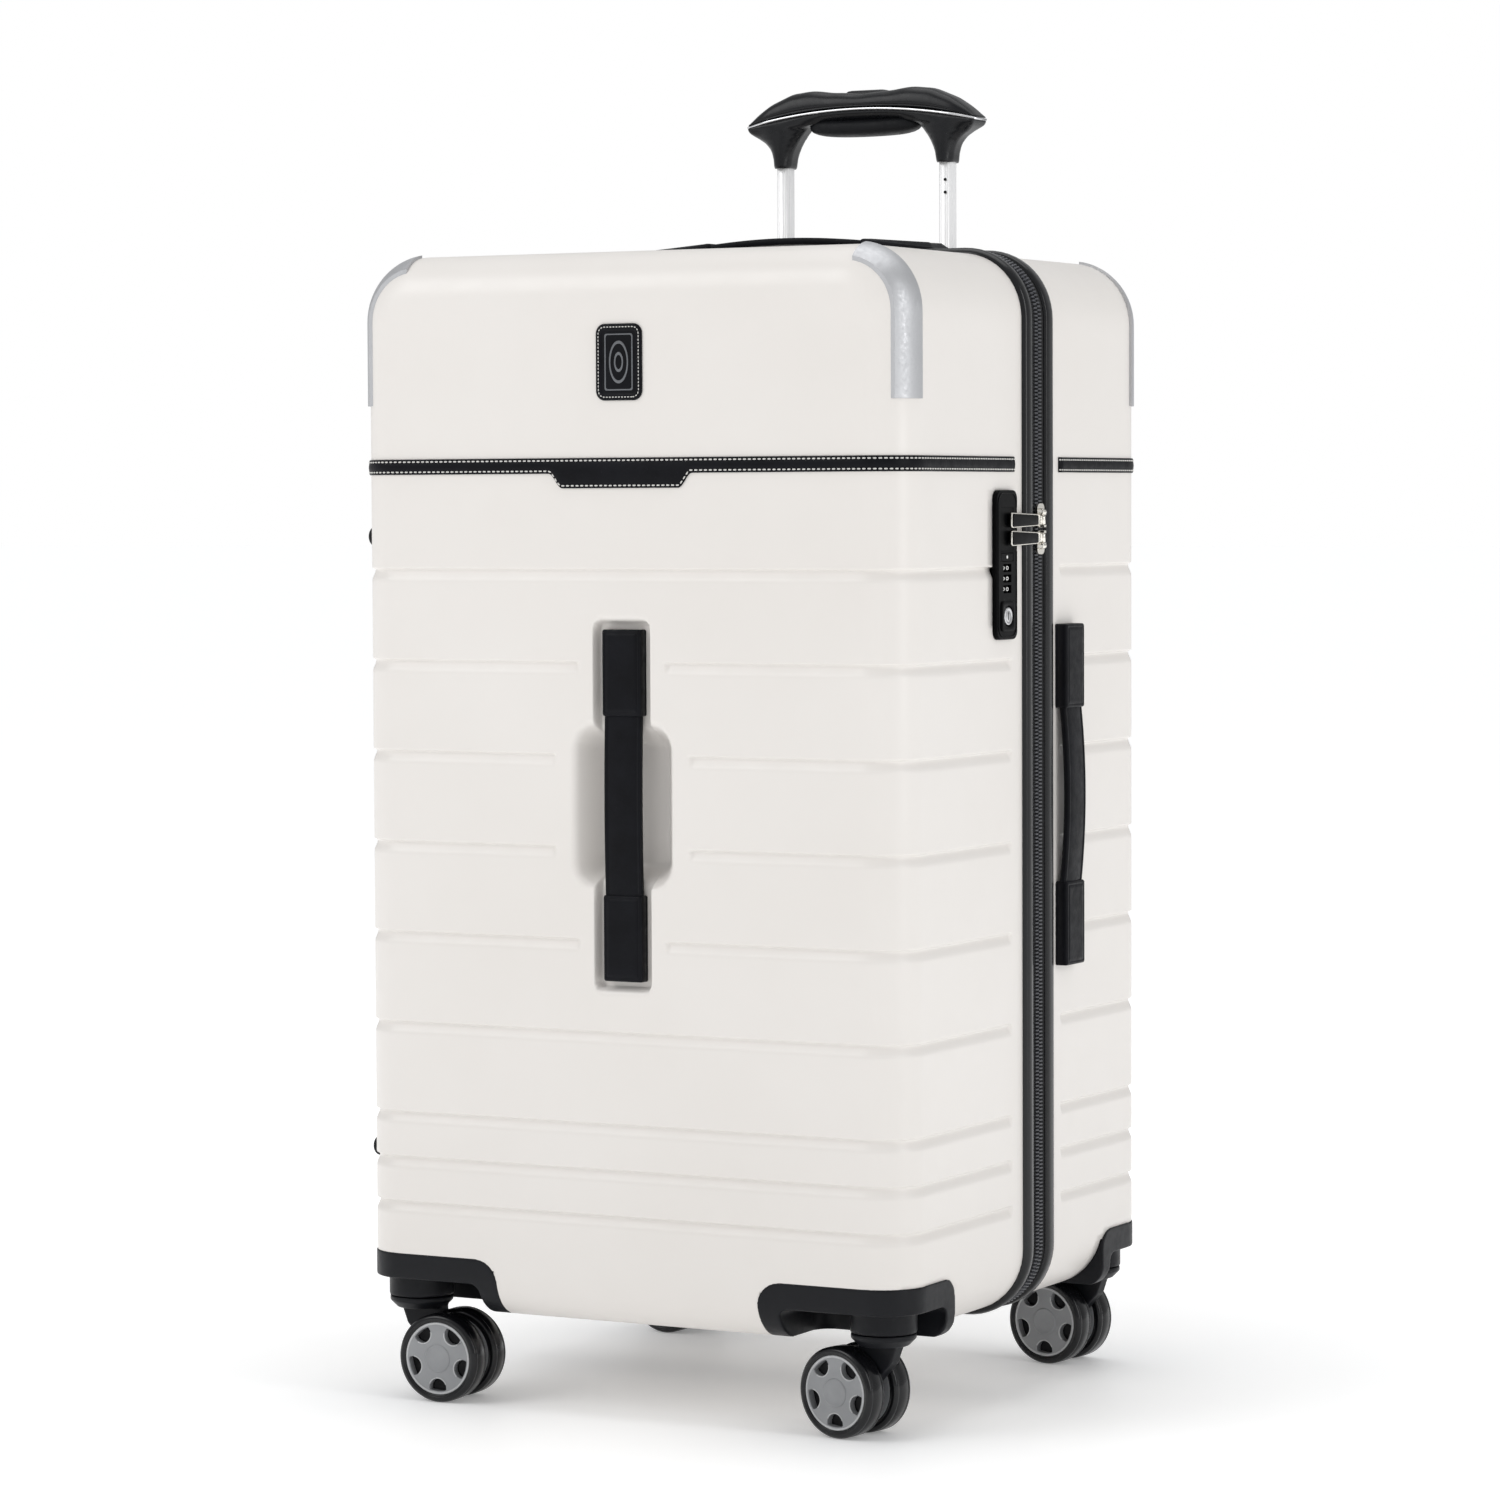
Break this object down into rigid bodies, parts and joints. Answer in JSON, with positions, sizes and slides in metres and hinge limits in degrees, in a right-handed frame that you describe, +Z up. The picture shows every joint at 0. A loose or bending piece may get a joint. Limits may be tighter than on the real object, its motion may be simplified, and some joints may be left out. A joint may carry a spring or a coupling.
{
  "type": "four-wheel hard-shell trunk case",
  "caption": "Ribbed hard-shell trunk case with corner guards, carry handles, pull handle, zip lock and twin-wheel casters.",
  "frame": {"origin": "on the floor, under the middle of the case", "axes": "+Z up along the case's height, +X towards the lock side, -Y towards the front face"},
  "size_m": [0.4326, 0.3845, 0.9032],
  "materials": {
    "shell": "ivory polycarbonate, satin",
    "rim": "black, glossy",
    "zip_tape": "black woven",
    "lining": "grey woven polyester",
    "webbing": "black webbing",
    "leather": "black, stitched",
    "chrome": "polished",
    "rubber": "matte black",
    "black_plastic": "moulded, satin black",
    "grip_plastic": "satin black",
    "lock_plastic": "satin black",
    "dial": "black",
    "steel": "zinc plated",
    "nickel": "nickel plated",
    "aluminium": "satin anodised",
    "silver_trim": "bright",
    "hub": "grey, satin",
    "tyre": "black polyurethane"
  },
  "bodies": {
    "rear_case": {"rear_shell": "shell", "rear_rim": "rim", "rear_zip_tape": "zip_tape", "hinge_gusset": "zip_tape", "rear_lining": "lining", "rear_packing_straps": "webbing", "rear_belt": "leather", "rear_handle_caps": "leather", "rear_corner_guards": "chrome", "rear_side_feet": "rubber", "rear_caster_housings": "black_plastic", "rear_screws": "steel", "trolley_outer_tubes": "aluminium", "trolley_cup": "black_plastic", "trolley_foot": "black_plastic"},
    "front_case": {"front_shell": "shell", "front_rim": "rim", "front_zip_tape": "zip_tape", "front_lining": "lining", "front_packing_straps": "webbing", "front_belt": "leather", "badge": "leather", "front_handle_caps": "leather", "front_corner_guards": "chrome", "front_side_feet": "rubber", "front_caster_housings": "black_plastic", "front_screws": "steel", "lock_body": "lock_plastic"},
    "front_handle": {"front_handle_grip": "leather"},
    "side_handle": {"side_handle_grip": "leather"},
    "top_handle": {"top_handle_grip": "leather"},
    "trolley_middle": {"trolley_middle_tubes": "aluminium"},
    "trolley_upper": {"trolley_upper_tubes": "aluminium", "grip_top_cover": "grip_plastic", "grip_bottom_cover": "grip_plastic", "grip_trim": "silver_trim", "grip_pad": "rubber"},
    "release_button": {"grip_button": "grip_plastic"},
    "zip_slider_upper": {"zip_slider_upper": "nickel"},
    "zip_slider_lower": {"zip_slider_lower": "nickel"},
    "zip_puller_upper": {"zip_puller_upper": "nickel"},
    "zip_puller_lower": {"zip_puller_lower": "nickel"},
    "lock_button": {"lock_button": "lock_plastic"},
    "lock_dial_1": {"lock_dial_1": "dial"},
    "lock_dial_2": {"lock_dial_2": "dial"},
    "lock_dial_3": {"lock_dial_3": "dial"},
    "lock_key_plug": {"lock_key_plug": "steel"},
    "front_left_caster": {"front_left_caster_fork": "black_plastic"},
    "front_left_wheels": {"front_left_caster_hubs": "hub", "front_left_caster_tyres": "tyre"},
    "front_right_caster": {"front_right_caster_fork": "black_plastic"},
    "front_right_wheels": {"front_right_caster_hubs": "hub", "front_right_caster_tyres": "tyre"},
    "rear_left_caster": {"rear_left_caster_fork": "black_plastic"},
    "rear_left_wheels": {"rear_left_caster_hubs": "hub", "rear_left_caster_tyres": "tyre"},
    "rear_right_caster": {"rear_right_caster_fork": "black_plastic"},
    "rear_right_wheels": {"rear_right_caster_hubs": "hub", "rear_right_caster_tyres": "tyre"}
  },
  "joints": [
    {"name": "lid_hinge", "type": "hinge", "parent": "rear_case", "child": "front_case", "pos_m": [-0.2115, 0.01, 0.418], "axis": [0, 0, -1], "range_deg": [0, 160], "deforming": ["hinge_gusset"]},
    {"name": "trolley_middle_slide", "type": "slide", "parent": "rear_case", "child": "trolley_middle", "axis": [0, 0, 1], "range_m": [0, 0.15]},
    {"name": "trolley_upper_slide", "type": "slide", "parent": "trolley_middle", "child": "trolley_upper", "axis": [0, 0, 1], "range_m": [-0.125, 0.03]},
    {"name": "release_button_press", "type": "slide", "parent": "trolley_upper", "child": "release_button", "axis": [0, 0, -1], "range_m": [0, 0.003], "stiffness_N_per_m": 500},
    {"name": "front_handle_pull", "type": "slide", "parent": "front_case", "child": "front_handle", "axis": [0, -1, 0], "range_m": [0, 0.018], "stiffness_N_per_m": 400, "deforming": ["front_handle_grip"]},
    {"name": "side_handle_pull", "type": "slide", "parent": "rear_case", "child": "side_handle", "axis": [1, 0, 0], "range_m": [0, 0.018], "stiffness_N_per_m": 400, "deforming": ["side_handle_grip"]},
    {"name": "top_handle_pull", "type": "slide", "parent": "rear_case", "child": "top_handle", "axis": [0, 0, 1], "range_m": [0, 0.018], "stiffness_N_per_m": 400, "deforming": ["top_handle_grip"]},
    {"name": "zip_slider_upper_travel", "type": "slide", "parent": "rear_case", "child": "zip_slider_upper", "axis": [0, 0, 1], "range_m": [0, 0.12]},
    {"name": "zip_slider_lower_travel", "type": "slide", "parent": "rear_case", "child": "zip_slider_lower", "axis": [0, 0, -1], "range_m": [0, 0.455]},
    {"name": "zip_puller_upper_flip", "type": "hinge", "parent": "zip_slider_upper", "child": "zip_puller_upper", "pos_m": [0.2122, 0.009, 0.5955], "axis": [0, 0, 1], "range_deg": [0, 165]},
    {"name": "zip_puller_lower_flip", "type": "hinge", "parent": "zip_slider_lower", "child": "zip_puller_lower", "pos_m": [0.2122, 0.009, 0.5835], "axis": [0, 0, 1], "range_deg": [0, 165]},
    {"name": "lock_button_press", "type": "slide", "parent": "front_case", "child": "lock_button", "axis": [-1, 0, 0], "range_m": [0, 0.0025], "stiffness_N_per_m": 300},
    {"name": "lock_key_turn", "type": "hinge", "parent": "front_case", "child": "lock_key_plug", "pos_m": [0.204, -0.0422, 0.532], "axis": [1, 0, 0], "range_deg": [0, 90]},
    {"name": "lock_dial_1_turn", "type": "hinge", "parent": "front_case", "child": "lock_dial_1", "pos_m": [0.2017, -0.0422, 0.564], "axis": [0, 0, 1], "continuous": true},
    {"name": "lock_dial_2_turn", "type": "hinge", "parent": "front_case", "child": "lock_dial_2", "pos_m": [0.2017, -0.0422, 0.557], "axis": [0, 0, 1], "continuous": true},
    {"name": "lock_dial_3_turn", "type": "hinge", "parent": "front_case", "child": "lock_dial_3", "pos_m": [0.2017, -0.0422, 0.55], "axis": [0, 0, 1], "continuous": true},
    {"name": "front_left_swivel", "type": "hinge", "parent": "front_case", "child": "front_left_caster", "pos_m": [-0.1765, -0.1607, 0.08], "axis": [0, 0, 1], "continuous": true},
    {"name": "front_left_roll", "type": "hinge", "parent": "front_left_caster", "child": "front_left_wheels", "pos_m": [-0.15252, -0.15986, 0.03], "axis": [-0.0349, 0.9994, 0], "continuous": true},
    {"name": "front_right_swivel", "type": "hinge", "parent": "front_case", "child": "front_right_caster", "pos_m": [0.1765, -0.1607, 0.08], "axis": [0, 0, 1], "continuous": true},
    {"name": "front_right_roll", "type": "hinge", "parent": "front_right_caster", "child": "front_right_wheels", "pos_m": [0.15302, -0.15571, 0.03], "axis": [-0.2079, -0.9781, 0], "continuous": true},
    {"name": "rear_left_swivel", "type": "hinge", "parent": "rear_case", "child": "rear_left_caster", "pos_m": [-0.1765, 0.1607, 0.08], "axis": [0, 0, 1], "continuous": true},
    {"name": "rear_left_roll", "type": "hinge", "parent": "rear_left_caster", "child": "rear_left_wheels", "pos_m": [-0.15263, 0.15819, 0.03], "axis": [0.1045, 0.9945, 0], "continuous": true},
    {"name": "rear_right_swivel", "type": "hinge", "parent": "rear_case", "child": "rear_right_caster", "pos_m": [0.1765, 0.1607, 0.08], "axis": [0, 0, 1], "continuous": true},
    {"name": "rear_right_roll", "type": "hinge", "parent": "rear_right_caster", "child": "rear_right_wheels", "pos_m": [0.15273, 0.16404, 0.03], "axis": [-0.1392, -0.9903, 0], "continuous": true}
  ]
}
